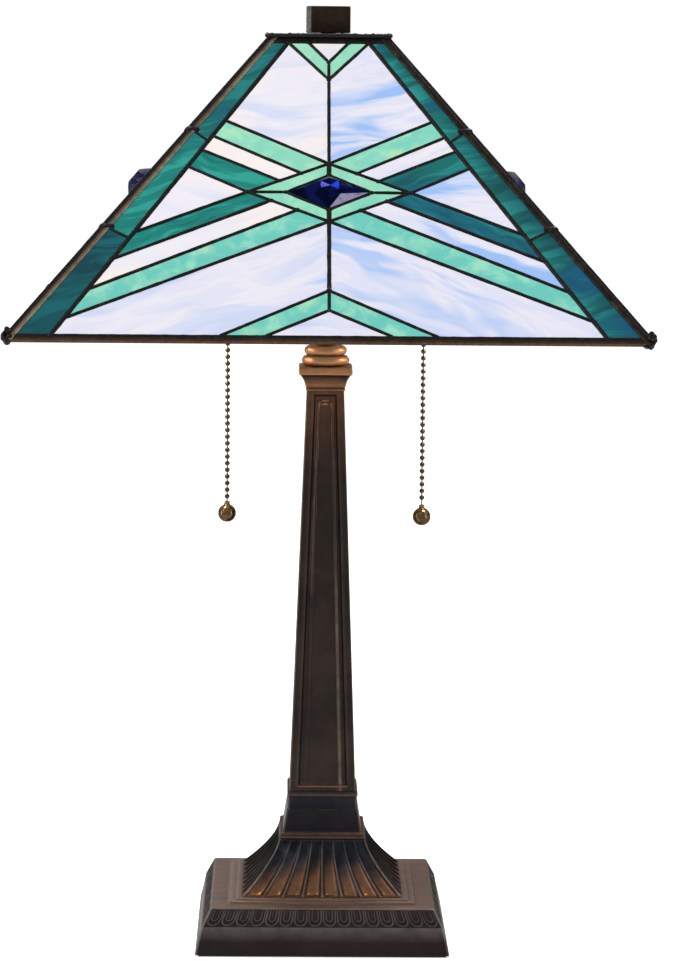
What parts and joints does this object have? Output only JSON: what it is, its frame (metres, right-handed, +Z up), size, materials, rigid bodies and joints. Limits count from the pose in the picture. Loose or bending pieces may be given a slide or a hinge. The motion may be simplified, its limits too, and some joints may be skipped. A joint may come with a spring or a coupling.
{
  "type": "stained glass table lamp",
  "caption": "Table lamp with a square leaded glass shade, a tapered square column on a stepped foot, and bead pull chains that hang under the rim.",
  "frame": {"origin": "centre of the underside, on the table", "axes": "+Z up along the column, the lamp's front towards -Y, the rear lead inlet towards +Y"},
  "size_m": [0.415, 0.415, 0.6396],
  "materials": {
    "white_glass": "opalescent white glass with pale blue streaks",
    "mint_glass": "opalescent mint green glass",
    "teal_glass": "streaky deep teal glass",
    "cobalt_glass": "faceted cobalt blue glass",
    "dark_solder": "solder with black patina, lumpy satin",
    "patina_brass": "dark brown patina",
    "felt": "black felt",
    "black_plastic": "matte black",
    "ballast_iron": "raw casting",
    "oiled_bronze": "oil rubbed bronze, satin with copper rubbed edges",
    "copper_bronze": "rubbed coppery bronze, satin",
    "porcelain": "glazed",
    "lit_bulb": "soft white, lit",
    "bulb_cap": "threaded",
    "plain_brass": "machined",
    "antique_brass": "antique brown"
  },
  "bodies": {
    "root": {"felt_pad": "felt", "base_plinth": "oiled_bronze", "ballast_weight": "ballast_iron", "cord_bushing": "black_plastic", "bottom_washer": "plain_brass", "bottom_nut": "plain_brass", "lamp_pipe": "plain_brass", "skirt_casting": "oiled_bronze", "stepped_collar": "oiled_bronze", "column_shaft": "oiled_bronze", "capital": "copper_bronze", "lower_neck_ring": "copper_bronze", "upper_neck_ring": "copper_bronze", "neck_spacer": "copper_bronze", "cluster_body": "copper_bronze", "riser_pipe": "plain_brass", "shade_seat_nut": "plain_brass", "left_socket_cap": "antique_brass", "left_socket_shell": "antique_brass", "left_bulb_base": "bulb_cap", "left_bulb_glass": "lit_bulb", "right_socket_cap": "antique_brass", "right_socket_shell": "antique_brass", "right_bulb_base": "bulb_cap", "right_bulb_glass": "lit_bulb", "socket_cores": "porcelain", "chain_nozzles": "antique_brass"},
    "shade": {"front_leading": "dark_solder", "front_white_glass": "white_glass", "front_mint_glass": "mint_glass", "front_teal_glass": "teal_glass", "right_leading": "dark_solder", "right_white_glass": "white_glass", "right_mint_glass": "mint_glass", "right_teal_glass": "teal_glass", "back_leading": "dark_solder", "back_white_glass": "white_glass", "back_mint_glass": "mint_glass", "back_teal_glass": "teal_glass", "left_leading": "dark_solder", "left_white_glass": "white_glass", "left_mint_glass": "mint_glass", "left_teal_glass": "teal_glass", "glass_jewels": "cobalt_glass", "hip_cames": "patina_brass", "rim_channel": "patina_brass", "top_ring": "dark_solder", "corner_solder": "dark_solder", "top_cap": "dark_solder"},
    "finial": {"finial": "oiled_bronze"},
    "left_pull": {"left_pull_link": "antique_brass"},
    "left_swivel": {"left_swivel_bead": "antique_brass"},
    "left_chain": {"left_chain": "antique_brass", "left_pull_ball": "antique_brass"},
    "right_pull": {"right_pull_link": "antique_brass"},
    "right_swivel": {"right_swivel_bead": "antique_brass"},
    "right_chain": {"right_chain": "antique_brass", "right_pull_ball": "antique_brass"}
  },
  "joints": [
    {"name": "shade_turn", "type": "hinge", "parent": "root", "child": "shade", "pos_m": [0, 0, 0.6198], "axis": [0, 0, 1], "continuous": true},
    {"name": "finial_turn", "type": "hinge", "parent": "root", "child": "finial", "pos_m": [0, 0, 0.6214], "axis": [0, 0, 1], "continuous": true},
    {"name": "left_pull", "type": "slide", "parent": "root", "child": "left_pull", "axis": [0, 0, -1], "range_m": [0, 0.01], "stiffness_N_per_m": 300, "springref_m": -0.003},
    {"name": "left_swing_sideways", "type": "hinge", "parent": "left_pull", "child": "left_swivel", "pos_m": [-0.0672, 0, 0.414], "axis": [0, 1, 0], "range_deg": [-15, 40]},
    {"name": "left_swing_fore_aft", "type": "hinge", "parent": "left_swivel", "child": "left_chain", "pos_m": [-0.0672, 0, 0.414], "axis": [1, 0, 0], "range_deg": [-35, 35]},
    {"name": "right_pull", "type": "slide", "parent": "root", "child": "right_pull", "axis": [0, 0, -1], "range_m": [0, 0.01], "stiffness_N_per_m": 300, "springref_m": -0.003},
    {"name": "right_swing_sideways", "type": "hinge", "parent": "right_pull", "child": "right_swivel", "pos_m": [0.0672, 0, 0.414], "axis": [0, 1, 0], "range_deg": [-40, 15]},
    {"name": "right_swing_fore_aft", "type": "hinge", "parent": "right_swivel", "child": "right_chain", "pos_m": [0.0672, 0, 0.414], "axis": [1, 0, 0], "range_deg": [-35, 35]}
  ]
}
